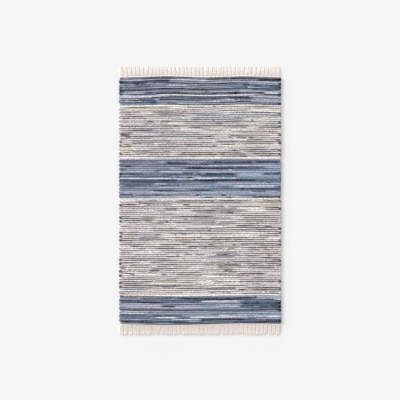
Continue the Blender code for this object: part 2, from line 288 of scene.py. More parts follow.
        (17, 40, 18.25), (75.4, 79.6, 19.25), (6, 12, 19.8), (57, 70, 20.2), (1.5, 5.3, 20.75),
        (36, 40, 21.25), (51, 62, 22.3), (13.5, 17, 22.3), (32, 40, 22.35), (20, 26, 22.35),
        (32, 51.5, 24.3), (21, 25.4, 24.35), (14, 20, 24.75), (34, 41, 25.3), (60, 63.3, 25.3),
        (28, 41, 28.8), (54, 68, 29.35), (6, 46, 29.85), (77.6, 79.8, 31.9, 0.5), (48, 79, 32.35),
        (6, 11.5, 33.3), (62, 76, 33.4), (75, 79, 36.4), (62, 76, 37.4), (22, 25, 37.4), (31, 33, 37.9),
        (70, 79, 38.35), (8, 14, 38.4), (44, 66, 43.48, 43.38, 0.22), (20, 31, 48.68, 0.24),
        (73.3, 75, 53.08, 0.3), (2, 13, 54.48, 0.24), (37, 41, 56.88, 0.32), (29, 47.5, 62), (71, 79, 62),
        (40, 43.4, 63), (50, 60, 63), (13, 15.7, 64.5), (1.5, 8, 65), (33, 41.5, 65), (32, 35, 66),
        (23, 27, 66.5), (50, 57, 67.05), (4.2, 5.1, 70), (32, 33.4, 71.4), (11, 17, 71.6),
        (25.4, 26.2, 71.6), (1.5, 9.4, 72.05), (28, 36, 73.05), (58, 66.5, 74.6), (18.5, 29, 76.05),
        (33, 42, 76.1), (52, 67, 76.6), (71, 79, 76.6), (25, 36, 78.6), (31, 33.2, 79), (57, 62.4, 80.6),
        (36.5, 37.7, 81.9), (63, 79, 83.65), (60, 63.5, 84.1), (44, 60, 85.15), (62, 72, 85.7),
        (18, 33, 86.15), (54, 57, 86.15), (32, 36, 89.2), (38, 42, 89.2), (63, 68, 89.75), (66, 79.5, 92.7),
        (63, 70, 93.7), (1, 3, 96.2), (24, 29, 96.2), (1, 7, 98.2, 99.2, 0.25), (30, 32, 99.2),
        (62, 78, 102.7), (52, 56, 102.7), (30, 36, 103.2), (1, 12, 103.7), (31, 37, 104.8),
        (63, 79.2, 105.75), (1, 14, 105.8), (66, 79.3, 106.8), (0.4, 18, 110.3, 110.35, 0.2),
        (75, 80, 114.8, 114.7, 0.35), (59.7, 66, 115.1, 0.32), (69, 74, 115.3, 0.35), (21, 41, 117.1, 0.38),
        (49, 64, 117.1, 117, 0.35), (16, 21.5, 120, 0.4), (27, 41, 123.5, 0.25),
    ],
    "navy": [
        (19.4, 24.6, 1.87, 1.82, 0.5), (10, 19, 2.42, 2.12, 0.35), (1, 15, 2.67, 2.37, 0.45),
        (22, 36, 3.22, 0.26), (7.5, 9.6, 3.72, 0.35), (2.9, 3.9, 4.22, 0.35), (62, 63.4, 5.42, 0.45),
        (77, 78, 5.72, 0.35), (66, 69, 6.02, 0.4), (73.5, 74.5, 6.42, 0.3), (53.5, 72, 8.12, 7.87, 0.4),
        (56.5, 65, 12.42, 12.22, 0.36), (16, 17.9, 12.62, 0.5), (42.8, 44.6, 19.2), (46.4, 47.6, 19.25),
        (46.2, 47.1, 21.8, 0.3), (20.6, 22.4, 27.8), (23, 23.7, 27.8), (0.6, 1.8, 28.9, 0.5),
        (1.5, 4.8, 29.3, 29.35, 0.22), (67.6, 79, 42.68, 42.88, 0.5), (23, 33.5, 43.08, 43.18, 0.5),
        (52, 66, 43.08, 42.88, 0.36), (10, 41, 45.08, 0.22), (57, 72, 45.58, 45.38, 0.35),
        (34, 41, 45.78, 0.5), (40, 57, 45.78, 45.68, 0.4), (0.6, 3.3, 46.48, 0.3),
        (71, 80, 48.58, 48.38, 0.35), (8, 12, 48.68, 0.35), (0, 66, 51.98, 52.08, 0.4),
        (20, 28.3, 54.48, 0.25), (58.4, 80, 56.18, 55.98, 0.34), (16, 27, 56.78, 0.34), (0, 7, 59.08, 0.3),
        (50.5, 52.5, 59.38, 0.4), (22.8, 24.4, 72.55), (0.4, 11.2, 112.7, 112.6, 0.5),
        (34.6, 41, 113, 112.8, 0.3), (11.2, 21.5, 113.1, 113.2, 0.5), (66.5, 70, 113.4, 0.3),
        (61, 64, 113.5, 0.3), (77, 80, 113.5, 0.3), (68, 73, 117, 0.3), (16, 26, 121.5, 121.6, 0.3),
        (40, 62, 121.7, 0.55), (72, 80, 121.9, 122.2, 0.45), (18, 34, 123, 0.5), (66, 80, 123.2, 123, 0.3),
        (40, 65, 123.45, 0.3),
    ],
    "black": [
        (20, 28, 0.2, 0.5), (28, 43, 0.2, 0.35, 0.42), (44, 54, 0.25, 0.25), (11, 20, 0.72, 0.37, 0.45),
        (69, 80, 1.42, 0.3), (17.5, 19.6, 1.87, 0.4), (-0.5, 1.6, 2.92, 2.87, 0.45), (36, 41, 3.22, 0.26),
        (45, 57, 3.22, 0.3), (66.5, 70, 4.57, 4.62, 0.35), (17, 33, 6.02, 5.87, 0.38),
        (33, 44.6, 6.02, 6.22, 0.42), (47.8, 53.8, 6.02, 5.82, 0.3), (12.8, 17.5, 6.32, 6.22, 0.35),
        (-0.5, 2.2, 7.22, 7.12, 0.4), (57.2, 58.6, 7.92, 0.4), (40.8, 42.2, 7.92, 0.3),
        (45.8, 48.6, 8.12, 0.28), (18.8, 41, 8.37, 0.3), (53.8, 58.4, 8.42, 8.32, 0.35),
        (71.6, 80, 8.72, 9.07, 0.42), (15.8, 20, 10.32, 0.3), (22, 33, 11.22, 0.26),
        (57, 58.5, 11.22, 0.35), (19.8, 22, 11.32, 0.35), (1.3, 2.7, 11.77, 0.3), (4.6, 12.8, 11.82, 0.28),
        (78.4, 80, 13.62, 0.4), (46.3, 47.6, 14.8), (63.8, 64.5, 14.8), (34, 34.8, 15.25),
        (40.4, 41.7, 15.25, 0.26), (65.3, 66.2, 21.8, 0.45), (47.8, 51, 23.3), (51.5, 52.5, 24.3, 0.34),
        (53.5, 54.7, 24.3), (72.4, 73.2, 24.3), (5, 14, 24.75), (1, 5, 24.8, 24.75, 0.26),
        (69, 80, 25.2, 25.3, 0.22), (37.4, 39.6, 25.3, 0.28), (6, 17, 26.75), (75.4, 76.6, 28.35),
        (44, 45.4, 29.85), (3, 4, 30.3), (4.4, 5.3, 30.3), (60.6, 62.7, 30.35), (63.8, 66.4, 30.35),
        (41, 42.1, 32.85), (3.4, 5.8, 34.9, 34.8, 0.16), (64.6, 73.6, 36.35), (56.2, 57.6, 36.85),
        (66, 69.6, 38.4), (22.7, 24.6, 38.8, 0.3), (20.5, 22, 38.9, 0.26), (29, 49, 38.9),
        (50, 52, 38.9, 0.32), (59.6, 63, 39.9), (46.5, 51, 42.88, 0.35), (0.6, 7, 44.98, 45.08, 0.32),
        (31.6, 36.5, 48.38, 48.48, 0.42), (37.6, 41, 48.58, 0.3), (1.3, 8, 48.68, 0.35),
        (42, 57.5, 48.68, 48.58, 0.34), (-0.4, 1.3, 48.88, 0.45), (27.7, 29.7, 50.18, 0.3),
        (33.6, 36.3, 50.48, 0.3), (19, 28, 51.88, 0.34), (40, 48, 51.88, 51.68, 0.36),
        (-0.4, 1, 51.98, 0.5), (65, 67.3, 52.08, 0.4), (28.3, 29.7, 54.58, 0.25), (60.7, 61.9, 56.28, 0.35),
        (40, 45, 56.78, 0.25), (66, 80, 60.38, 60.18, 0.28), (42.5, 46.5, 60.4, 0.2),
        (52.5, 56, 60.4, 0.22), (49, 57, 62.05), (45.4, 46.3, 62.7, 0.35), (43.4, 44.2, 63),
        (9.6, 10.5, 63.3, 0.35), (10.5, 16.5, 63.5), (1, 10, 64), (31.5, 34.5, 64.05), (41.5, 42.6, 65),
        (50, 51.6, 65), (72, 79.3, 65.55), (27, 28.2, 66.5), (35.8, 49, 67.05), (53, 56.6, 68.05),
        (30, 47.4, 70.05), (9.4, 10.5, 72.05), (62.5, 65.6, 72.6), (72, 75.4, 75.15), (52, 71, 75.6),
        (16.8, 18, 76), (67.5, 71, 76.6), (43.6, 45.6, 77.1), (27.4, 28.3, 79, 0.28), (62.4, 63.4, 80.6),
        (27.5, 28.4, 80.65), (20.5, 33.5, 84.1), (44, 46.5, 84.1), (56, 57.3, 84.1), (6, 9.2, 85.1),
        (33.5, 44, 85.15), (26, 26.7, 85.6), (75, 76.2, 85.7), (72, 73, 85.75), (53.5, 54.4, 86.7),
        (48, 54, 89.2), (28.4, 29.3, 89.6, 0.4), (70, 79.4, 90.7), (31.4, 32.2, 91.15), (76, 79.6, 91.7),
        (59, 65.4, 92.7), (75.4, 76.4, 92.75), (15, 20, 93.2), (53.7, 54.5, 93.2), (48, 51, 94.2),
        (51.6, 59.6, 94.2), (77.8, 79, 94.7), (0.2, 0.9, 95.1, 95.9, 0.3), (4.8, 5.5, 96.9),
        (15, 19.9, 97.2), (51.8, 54, 97.2), (54.3, 56, 97.2), (59.5, 72, 98.75), (21, 23.5, 99.2),
        (28.5, 30, 99.2), (58.4, 59.4, 99.2), (6.4, 7.5, 99.25), (49.5, 50.5, 99.3), (63, 63.8, 99.9),
        (56.7, 57.5, 102.7), (59.3, 60.9, 102.7), (11, 16.2, 102.75), (2, 29, 104.75), (29.4, 30.6, 104.75),
        (14.5, 16.4, 105.8), (29, 43, 106.1), (56, 57.5, 106.2), (59, 62.6, 106.8), (72, 73.2, 107.8),
        (51.2, 52, 108.2), (25, 25.7, 108.3), (28.5, 29.3, 108.3), (30, 31.1, 108.35), (0, 2.3, 108.65),
        (18, 28, 110.45, 110.6, 0.25), (66.6, 68, 110.5, 0.3), (28, 41, 111, 111.3, 0.4),
        (57, 66, 111.1, 110.6, 0.28), (40, 57, 111.45, 111.4, 0.42), (72.3, 76.5, 111.7, 0.25),
        (76, 79.5, 111.9, 112.2, 0.2), (10, 14, 113, 113.2, 0.3), (73.2, 74.2, 113.3, 0.35),
        (21.5, 27.4, 115.2, 0.26), (60.4, 61.6, 115.2, 0.25), (0, 21, 116.85, 116.9, 0.3),
        (40, 49, 117, 0.35), (65, 66.5, 117, 0.3), (77.2, 79, 117, 0.3), (14.8, 15.6, 118.2, 0.3),
        (21.5, 31, 119.9, 0.28), (0.6, 18, 123, 0.55),
    ],
}

# The places in picks where a dark rag turns round at the edge, how far in from the edge it shows, in warps,
# and how thick it is
DARK_TURNS = {
    -1: (
        0.5, 2.7, 5.4, 6.9, 8.7, 32.9, 34.8, 38.7, 48.8, 64.75, 70.75, 72.7, 78.4, 80.1, 81.9, 91.9, 93.7,
        97.6, 99.7, 103.3, 105.2, 110.0,
    ),
    1: (
        1.3, 3.6, 5.4, 8.9, 13.4, 18.7, 22.8, 24.8, 29.1, 33.2, 36.9, 38.9, 48.3, 55.8, 60.1, 62.3, 66.2,
        76.1, 78.1, 82.3, 84.2, 92.3, 94.3, 102.6, 106.4, 113.4, 115.2, 117.0, 122.1,
    ),
}
TURN_SHOWS = 1.3
TURN_THICK = 0.55
for side, turns in DARK_TURNS.items():
    first, last = (-1, TURN_SHOWS) if side < 0 else (WARPS - TURN_SHOWS, WARPS + 1)
    for turn in turns:
        MARKS["black"].append((first, last, turn, TURN_THICK))


def light_of(colour):
    """A screen colour as light values."""
    values = np.array(colour, float) / 255
    return np.where(values <= 0.04045, values / 12.92, ((values + 0.055) / 1.055) ** 2.4)


def sway(x, y):
    """How far a pick strays along the rug at x, for a pick whose own line is y."""
    total = 0.0
    for row in SWAYS:
        fade = np.maximum(0.0, row["end"] * y / (LENGTH / 2)) ** 2
        turn = 2 * math.pi * row["waves"] * (x / WIDTH + 0.5 - row["crest"])
        total = total + fade * row["height"] * np.cos(turn)
    return total


def smooth_noise(dice, rows, at, spacing):
    """One row of values from -1 to 1 for each of rows, smooth along the places at."""
    at = np.asarray(at, float)
    cells = int(np.ptp(at) / spacing) + 3
    knots = dice.uniform(-1, 1, (rows, cells))
    place = (at - at.min()) / spacing
    left = place.astype(int)
    share = place - left
    share = share * share * (3 - 2 * share)
    return knots[:, left] * (1 - share) + knots[:, left + 1] * share


def edge_inset(side, place):
    """How far the edge lies inside the full width at a place counted in picks."""
    wave = place * PICK_PITCH / EDGE_WAVE + EDGE_START[side]
    return EDGE_WANDER * (0.5 - 0.5 * np.cos(2 * np.pi * wave))


# How far the lines between picks lie off their even places, in picks, at three warps: fat and thin rags
# push each other along, and a few picks slant
SHIFT_WARPS = (7, 31, 65)
PICK_SHIFTS = (
    (0, 0.0, 0.0, 0.0), (3, 0.1, 0.1, 0.1), (6, 0.0, 0.0, 0.0), (9, -0.3, -0.3, -0.3),
    (10, -0.36, -0.36, -0.36), (13, -0.16, -0.16, -0.16), (15, 0.2, 0.25, -0.15), (17, 0.0, 0.25, -0.2),
    (18, -0.2, 0.25, -0.2), (19, -0.2, 0.2, 0.2), (20, -0.2, 0.2, 0.2), (22, 0.1, 0.3, 0.3),
    (24, 0.0, 0.3, 0.3), (25, -0.2, 0.2, 0.25), (28, -0.2, -0.2, 0.3), (30, -0.2, -0.15, 0.36),
    (33, 0.1, -0.15, 0.38), (35, 0.0, -0.15, 0.38), (38, -0.1, -0.1, 0.4), (39, -0.1, -0.1, 0.36),
    (40, -0.08, -0.08, 0.1), (41, 0.25, 0.25, 0.3), (46, 0.1, 0.1, 0.1), (50, 0.35, 0.35, 0.35),
    (51, 0.4, 0.4, 0.4), (56, 0.0, 0.0, 0.0), (60, -0.2, -0.2, -0.2), (62, -0.15, -0.15, -0.15),
    (65, 0.0, 0.0, -0.1), (67, 0.05, 0.05, -0.4), (74, 0.05, 0.05, -0.4), (77, 0.1, 0.1, -0.4),
    (79, 0.1, -0.36, -0.4), (82, 0.1, -0.3, -0.4), (83, 0.1, 0.1, -0.35), (86, 0.17, 0.17, -0.3),
    (93, 0.2, 0.2, -0.3), (95, -0.3, 0.2, -0.3), (104, -0.27, 0.2, -0.27), (108, -0.2, 0.2, -0.24),
    (109, 0.0, 0.15, -0.1), (111, 0.2, 0.2, 0.2), (121, 0.2, 0.2, 0.2), (124, 0.0, 0.0, 0.0),
)
WANDER = 0.00035             # how far a line between two picks wanders, and over which lengths
WANDER_LENGTHS = (0.045, 0.13)

loom = np.random.default_rng(11)
station_x = FIRST_WARP + STEP * np.arange(STRAIGHT.start, STRAIGHT.stop)
wander = sum(WANDER * smooth_noise(loom, PICKS + 1, station_x, length) for length in WANDER_LENGTHS)
wander[0] = 0.0
wander[PICKS] = 0.0
line_number = np.arange(PICKS + 1.0)
shift_at, *shifts = np.array(PICK_SHIFTS).T
shifts = np.array([np.interp(line_number, shift_at, column) for column in shifts])
shift_x = FIRST_WARP + WARP_PITCH * np.array(SHIFT_WARPS)
line_place = line_number[:, None] + np.array([np.interp(station_x, shift_x, row) for row in shifts.T])
line_y = LENGTH / 2 - PICK_PITCH * line_place
grooves = line_y + wander + sway(station_x[None, :], line_y)


def pick_stations(pick):
    """The middle line, half width, top and underside of a pick at its stations from left to right."""
    middle = (grooves[pick] + grooves[pick + 1]) / 2
    half = (grooves[pick] - grooves[pick + 1]) / 2
    step = np.arange(STRAIGHT.start, STRAIGHT.stop)
    at_warp = step % STEPS_TO_A_WARP == 0
    over = at_warp & ((step // STEPS_TO_A_WARP + pick) % 2 == 0)
    under = at_warp & ~over
    rough = sum(height * smooth_noise(loom, 4, station_x, length) for length, height in ROUGHNESS)
    tight = loom.uniform(*TIGHTNESS, len(step))
    return {
        "pick": pick,
        "heading": 1 if pick % 2 == 0 else -1,
        "middle": middle,
        "half": half * (FULLNESS - WAIST * at_warp * tight),
        "top": RAG_TOP + rough[0] - PINCH * over * tight,
        "below": RAG_LIFT + np.abs(rough[1]) + PINCH * under * tight,
        "lean": rough[2] + rough[3],
    }


def weft_strip(first_pick, picks):
    """The rings of points round one strip from its start to its end, as arrays: the points themselves, their
    places in picks as the chart counts them, their places in warps, and in picks by the lines between."""
    points, places, warps, lines = [], [], [], []
    across, up = np.array(RAG_SECTION + RAG_SECTION[:1]).T
    tilt = 2 * across * up

    def section(shape, i, x, top, below, lean, size=1.0):
        """One ring of points round the strip at x, with the pick's middle and width at station i."""
        pick, heading = shape["pick"], shape["heading"]
        z = (top + below) / 2 + (top - below) / 2 * up + lean * tilt
        y = shape["middle"][i] + heading * shape["half"][i] * size * across
        points.append(np.stack([np.full(y.shape, x), y, np.maximum(z, 0.0)], 1))
        share = 0.5 - heading * across / 2
        lines.append(pick + share)
        places.append(line_place[pick, i] + share * (line_place[pick + 1, i] - line_place[pick, i]))
        warps.append(np.full(y.shape, (x + WIDTH / 2) / WARP_PITCH))

    def cut_end(shape, i, side, sizes):
        """The rounded rings at the strip's cut end, past station i towards that side."""
        edge = side * (WIDTH / 2 - CUT_END_INSET - edge_inset(side, shape["pick"]))
        for share, size in sizes:
            x = station_x[i] + share * (edge - station_x[i])
            top = CUT_END_MIDDLE + CUT_END_RISE * size
            section(shape, i, x, top, CUT_END_MIDDLE - CUT_END_DROP * size, 0.0, size)

    def turn_back(shape, i):
        """The rings round the outermost warp, from the end of this pick to the start of the next."""
        pick, heading = shape["pick"], shape["heading"]
        radius = shape["half"][i] / FULLNESS
        centre_y = grooves[pick + 1][i]
        centre_x = heading * (WIDTH / 2 - 2 * radius - edge_inset(heading, pick + 1))
        bulge = loom.uniform(*BULGE)
        reach = radius + heading * radius * TURN_FULLNESS * across
        for turn in range(TURN_STEPS + 1):
            angle = math.pi / 2 - math.pi * turn / TURN_STEPS
            flat_cos = abs(math.cos(angle)) ** 0.5
            flat_sin = math.copysign(abs(math.sin(angle)) ** 0.5, math.sin(angle))
            x = centre_x + heading * (reach * bulge + LOOP_SLACK) * flat_cos
            y = centre_y + reach * flat_sin
            z = RAG_MIDDLE + TURN_HALF_HEIGHT * up * (1 - TURN_PRESSED * flat_cos)
            points.append(np.stack([x, y, np.maximum(z, 0.0)], 1))
            places.append(line_place[pick + 1, i] - flat_sin * reach / PICK_PITCH)
            lines.append(pick + 1 - flat_sin * reach / (2 * radius))
            warps.append((x + WIDTH / 2) / WARP_PITCH)

    last_pick = first_pick + picks - 1
    for pick in range(first_pick, last_pick + 1):
        shape = pick_stations(pick)
        order = list(range(len(station_x)))[::shape["heading"]]
        if pick == first_pick:
            cut_end(shape, order[0], -shape["heading"], CUT_END[::-1])
        for i in order:
            section(shape, i, station_x[i], shape["top"][i], shape["below"][i], shape["lean"][i])
        if pick < last_pick:
            turn_back(shape, order[-1])
        else:
            cut_end(shape, order[-1], shape["heading"], CUT_END)
    return np.array(points), np.array(places), np.array(warps), np.array(lines)


# Painted shade in each line between two picks, from 0 to 1, at every warp: it darkens the rag's colour there,
# standing in for the shade in the hollow between picks. It fades and deepens in long stretches and, less, in
# short ones. The streaks say how strongly a laid-in rag shows.
LINE_SHADE = 0.68
LINE_FADES = 0.8
FADE_WARPS = 11
LEAST_LINE_SHADE = 0.05
SPECKS = 0.14
SPECK_WARPS = 2.0
LEFT_EDGE_LINE_SHADE = 1.0
RIGHT_EDGE_LINE_SHADE = 0.6
STREAKS = 0.18
STREAK_WARPS = 1.8
warp_number = np.arange(WARPS + 1)
fades = smooth_noise(loom, PICKS + 1, warp_number, FADE_WARPS)
specks = smooth_noise(loom, PICKS + 1, warp_number, SPECK_WARPS)
painted_line_shade_strength = np.clip(LINE_SHADE + LINE_FADES * fades, LEAST_LINE_SHADE, 1) * (1 - SPECKS + SPECKS * specks)
painted_line_shade_strength[:, 0] = LEFT_EDGE_LINE_SHADE
painted_line_shade_strength[:, -1] = RIGHT_EDGE_LINE_SHADE
streak = 1 - STREAKS + STREAKS * smooth_noise(loom, PICKS + 1, warp_number, STREAK_WARPS)

GROOVE_REACH = 0.36          # in picks, how far the shade of a line reaches
CREST_FROM = 0.25            # in picks from a line, where the crest of the pick begins
CREST_FADE = 0.4             # how much fainter a dull rag shows there in the cream fields
DULL = 0.25                  # light value under which a rag is dull
GROUND_LENGTHS = (9, 34)     # in warps, the shortest and the longest stretch of one ground rag
GROUND_START = 20            # and how far before the edge the first may begin
SHORTEST = 0.5               # in warps, of a laid-in rag
TAPER = 0.8                  # in warps, over which the shortest rag's ends taper
TAPER_SHARE = 0.15           # and how much of a longer rag's length is added to it
LONGEST_TAPER = 2.5
RAG_FADES = 0.8              # in half thicknesses from its middle, where a rag starts to fade
RAG_ENDS = 1.45              # and where it ends
# A pale rag laid in over a line takes most of the painted shade off it, and a darker one a little.
PALE = 0.2                   # light value over which a rag hides the line it lies in
PALE_HIDES = 0.8             # and how much of it, and how much a darker rag does
DARK_HIDES = 0.1


def ground_colours(p, w, pick_rags, dice):
    """The colour of the band's own rags at places p and warps w, in stretches, two rags to a pick."""
    colour = np.zeros((p.size, 3))
    pick = np.clip(np.floor(p).astype(int), 0, PICKS - 1)
    names = GROUNDS[pick_rags]
    for k in range(pick.min(), pick.max() + 1):
        here = pick == k
        for half in (0, 1):
            lane = here & ((p - k >= 0.5) == bool(half))
            start = -dice.uniform(0, GROUND_START)
            while start < WARPS:
                stop = start + dice.uniform(*GROUND_LENGTHS)
                stretch = lane & (w >= start) & (w < stop)
                tone = light_of(RAGS[names[dice.integers(len(names))]]) * dice.uniform(*TONES[pick_rags])
                colour[stretch] = tone
                start = stop
    return colour


def swaying(first, last, place, end_place):
    """A charted rag's places at its first and last warp, once it sways with the picks round it."""
    ends_x = np.array([first, last]) * WARP_PITCH - WIDTH / 2
    line = LENGTH / 2 - PICK_PITCH * place
    if place == end_place:
        stray = sway(np.linspace(ends_x[0], ends_x[1], 5), line).mean() / PICK_PITCH
        return place + stray, end_place + stray
    strays = sway(ends_x, line) / PICK_PITCH
    return place + strays[0], end_place + strays[1]


def rag_colours(places, warps, lines, pick_rags, dice):
    """The colour of the rag at each place and warp, the ground first, then the rags laid in over it, and
    how strongly painted shade darkens it in the line beside it."""
    shape = places.shape
    p = places.ravel()
    w = warps.ravel()
    colour = ground_colours(p, w, pick_rags, dice)
    nearest = np.clip(np.rint(lines.ravel()), 0, PICKS).astype(int)
    from_line = np.abs(lines.ravel() - nearest)
    crest = np.clip((from_line - CREST_FROM) / (0.5 - CREST_FROM), 0, 1)
    across = np.clip(np.rint(w), 0, WARPS).astype(int)
    low, high = np.clip([p.min(), p.max()], 0, PICKS - 1).astype(int)
    # Painted shade: how much the line beside each point darkens its colour.
    painted_line_shade = np.clip(1 - from_line / GROOVE_REACH, 0, 1) * painted_line_shade_strength[nearest, across]
    for name, marks in MARKS.items():
        tone = light_of(RAGS[name])
        for first, last, place, *more in marks:
            thick = more[-1] if more else THIN[pick_rags]
            if pick_rags == "cream" and name in DARKEST:
                thick = max(thick, DARKEST_THICK)
            place, end_place = swaying(first, last, place, more[0] if len(more) == 2 else place)
            if max(place, end_place) < low - 1 or min(place, end_place) > high + 2:
                continue
            share = np.clip((w - first) / max(last - first, SHORTEST), 0, 1)
            off = np.abs(p - (place + share * (end_place - place))) / thick
            taper = min(TAPER + TAPER_SHARE * (last - first), LONGEST_TAPER)
            ends = np.clip((w - first) / taper + 0.5, 0, 1) * np.clip((last - w) / taper + 0.5, 0, 1)
            hold = np.clip((RAG_ENDS - off) / (RAG_ENDS - RAG_FADES), 0, 1) * ends * streak[nearest, across]
            if pick_rags == "cream" and tone[1] < DULL and name not in DARKEST:
                hold *= 1 - CREST_FADE * crest
            colour = colour * (1 - hold[:, None]) + tone * hold[:, None]
            painted_line_shade *= 1 - (PALE_HIDES if tone[1] > PALE else DARK_HIDES) * hold
    return colour.reshape(shape + (3,)), painted_line_shade.reshape(shape)


def flat_grid(name, stations, sides):
    """A flat grid that is rolled into a strip, from station to station along it and side by side round it."""
    bpy.ops.object.select_all(action="DESELECT")
    bpy.ops.mesh.primitive_grid_add(x_subdivisions=stations - 1, y_subdivisions=sides, size=2.0)
    piece = bpy.context.active_object
    piece.name = name
    return piece


def grid_places(mesh, stations, sides):
    """The station and the side of each corner of a flat grid, and which of its copies it is in."""
    flat = np.zeros(len(mesh.vertices) * 3)
    mesh.vertices.foreach_get("co", flat)
    flat = flat.reshape(-1, 3)
    station = np.rint((flat[:, 0] + 1) / 2 * (stations - 1)).astype(int)
    side = np.rint((flat[:, 1] + 1) / 2 * sides).astype(int)
    return station, side, np.rint(flat[:, 2]).astype(int)


def close_up(cap):
    """Merges the seam of a rolled grid, caps its open ends with the operator cap and smooths it."""
    bpy.ops.object.mode_set(mode="EDIT")
    bpy.ops.mesh.select_all(action="SELECT")
    bpy.ops.mesh.remove_doubles(threshold=0.000001)
    bpy.ops.mesh.select_all(action="DESELECT")
    bpy.ops.mesh.select_mode(type="EDGE")
    bpy.ops.mesh.select_non_manifold()
    cap()
    bpy.ops.mesh.select_all(action="SELECT")
    bpy.ops.mesh.normals_make_consistent(inside=False)
    bpy.ops.mesh.select_mode(type="VERT")
    bpy.ops.object.mode_set(mode="OBJECT")
    bpy.ops.object.shade_smooth()


def weave_band(name, first_pick, picks, pick_rags, dice):
    """One closed strip of rag, rolled from a grid and laid along its stations."""
    points, places, warps, lines = weft_strip(first_pick, picks)
    piece = flat_grid(name, points.shape[0], RAG_SIDES)
    mesh = piece.data
    station, side, _ = grid_places(mesh, points.shape[0], RAG_SIDES)
    mesh.vertices.foreach_set("co", points[station, side].ravel())
    colour, painted_line_shade = rag_colours(places, warps, lines, pick_rags, dice)
    rgba = np.concatenate([colour, np.ones(colour.shape[:2] + (1,))], 2)
    rag = mesh.attributes.new("rag", "FLOAT_COLOR", "POINT")
    rag.data.foreach_set("color", rgba[station, side].ravel())
    # Painted shade of the lines between picks, read by the rag material.
    painted_line_shade_layer = mesh.attributes.new("painted_line_shade", "FLOAT", "POINT")
    painted_line_shade_layer.data.foreach_set("value", painted_line_shade[station, side].ravel())
    runs = np.linalg.norm(np.diff(points.mean(1), axis=0), axis=1)
    run = np.concatenate([[0.0], np.cumsum(runs)])
    corner = np.zeros(len(mesh.loops), int)
    mesh.loops.foreach_get("vertex_index", corner)
    uv = np.stack([run[station[corner]], side[corner] * RAG_SIDE], 1)
    mesh.uv_layers[0].data.foreach_set("uv", uv.ravel())
    close_up(bpy.ops.mesh.fill)
    return piece


def new_material(name):
    """A matt cloth material and its nodes."""
    made = bpy.data.materials.new(name)
    made.use_nodes = True
    shader = made.node_tree.nodes["Principled BSDF"]
    shader.inputs["Roughness"].default_value = 0.92
    shader.inputs["Specular IOR Level"].default_value = 0.15
    return made, made.node_tree.nodes, made.node_tree.links, shader


def noise_on(nodes, links, places, scale, detail):
    """Noise over the places, from 0 to 1."""
    noise = nodes.new("ShaderNodeTexNoise")
    noise.inputs["Scale"].default_value = scale
    noise.inputs["Detail"].default_value = detail
    links.new(places, noise.inputs["Vector"])
    return noise.outputs["Fac"]


def stretched(nodes, links, places, along, round_it):
    """The places on a strip, scaled along it and round it."""
    stretch = nodes.new("ShaderNodeMapping")
    stretch.inputs["Scale"].default_value = (along, round_it, 1.0)
    links.new(places, stretch.inputs["Vector"])
    return stretch.outputs["Vector"]


def graded(nodes, links, value, start, stop, first, last):
    """The value, which runs from start to stop, made to run from first to last."""
    grade = nodes.new("ShaderNodeMapRange")
    grade.inputs["From Min"].default_value = start
    grade.inputs["From Max"].default_value = stop
    grade.inputs["To Min"].default_value = first
    grade.inputs["To Max"].default_value = last
    links.new(value, grade.inputs["Value"])
    return grade.outputs["Result"]


def product(nodes, links, one, other):
    """One shade times another."""
    both = nodes.new("ShaderNodeMath")
    both.operation = "MULTIPLY"
    links.new(one, both.inputs[0])
    links.new(other, both.inputs[1])
    return both.outputs["Value"]


def shaded(nodes, links, colour, shade):
    """A colour made darker or lighter by a shade."""
    scaled = nodes.new("ShaderNodeVectorMath")
    scaled.operation = "SCALE"
    links.new(colour, scaled.inputs[0])
    links.new(shade, scaled.inputs["Scale"])
    return scaled.outputs["Vector"]


def raise_cloth(nodes, links, shader, height, strength, distance):
    """A fine relief in the cloth's face."""
    relief = nodes.new("ShaderNodeBump")
    relief.inputs["Strength"].default_value = strength
    relief.inputs["Distance"].default_value = distance
    links.new(height, relief.inputs["Height"])
    links.new(relief.outputs["Normal"], shader.inputs["Normal"])


# Each rag has its own colour, dyed unevenly and creased along its length, and painted shade darkens it in the
# lines between picks
rag_material, nodes, links, shader = new_material("torn_rag")
dye = nodes.new("ShaderNodeAttribute")
dye.attribute_name = "rag"
line_shade_input = nodes.new("ShaderNodeAttribute")
line_shade_input.attribute_name = "painted_line_shade"
strip = nodes.new("ShaderNodeUVMap")
strip.uv_map = "UVMap"
fine = stretched(nodes, links, strip.outputs["UV"], along=90.0, round_it=900.0)
coarse = stretched(nodes, links, strip.outputs["UV"], along=175.0, round_it=120.0)
creases = noise_on(nodes, links, fine, scale=1.0, detail=4.0)
mottle = noise_on(nodes, links, coarse, scale=1.0, detail=2.0)
crease_shade = graded(nodes, links, creases, start=0.25, stop=0.75, first=0.8, last=1.14)
mottle_shade = graded(nodes, links, mottle, start=0.3, stop=0.7, first=0.66, last=1.36)
# Painted shade: where the line shade is full, only 0.14 of the rag's colour is left.
painted_line_darkening = graded(nodes, links, line_shade_input.outputs["Fac"], start=0.0, stop=1.0, first=1.0, last=0.14)
rag_shade = product(nodes, links, product(nodes, links, crease_shade, mottle_shade), painted_line_darkening)
links.new(shaded(nodes, links, dye.outputs["Color"], rag_shade), shader.inputs["Base Color"])
raise_cloth(nodes, links, shader, creases, strength=0.6, distance=0.0005)

first_pick = 0
dyer = np.random.default_rng(23)
for band in BANDS:
    cloth = weave_band(band["name"], first_pick, band["picks"], band["rags"], dyer)
    cloth.data.materials.append(rag_material)
    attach(cloth, "root")
    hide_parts("weave")
    first_pick += band["picks"]


# The warp: 80 thin cotton threads that run the length of the rug, over one pick and under the next. They are
# sunk in the rag and hold it. The outermost at each edge is hidden in the turns, so 78 of them are made.
THREAD = 0.00036             # half its thickness
THREAD_SIDES = 4
THREAD_PROUD = 0.0001        # how far its middle lies over the pinched rag
THREAD_UNDER = 0.00042       # and over the floor, where it runs under the rag
FLOAT_SHARE = 0.28           # share of a pick over which it climbs or dips


